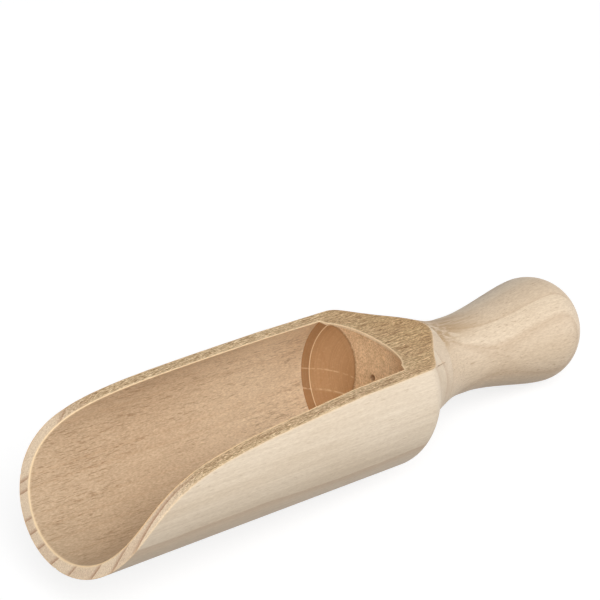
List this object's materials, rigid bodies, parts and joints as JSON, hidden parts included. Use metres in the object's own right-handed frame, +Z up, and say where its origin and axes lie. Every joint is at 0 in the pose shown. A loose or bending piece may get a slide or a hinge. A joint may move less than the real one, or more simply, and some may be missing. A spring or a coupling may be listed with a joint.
{
  "type": "wooden scoop",
  "caption": "Turned wooden scoop: a bored cylindrical bowl with a curved sawn mouth and flat land, a rounded shoulder and a bulb-ended handle, for dry goods such as flour.",
  "frame": {"origin": "on the table, under the middle of the scoop's box, as it rests tipped back on its heel and the bulb of its handle", "axes": "+X from the lip towards the handle's end, +Y across the bowl, +Z up out of the open mouth"},
  "size_m": [0.2224, 0.0558, 0.048],
  "materials": {
    "bowl_wood": "bare pale hardwood: smooth turned outside, sawn mouth and land, bored inside",
    "handle_wood": "bare pale hardwood, smooth turned",
    "dowel_wood": "bare pale hardwood, hidden in the joint"
  },
  "bodies": {
    "root": {"bowl": "bowl_wood", "handle": "handle_wood", "joint_dowel": "dowel_wood"}
  },
  "joints": []
}
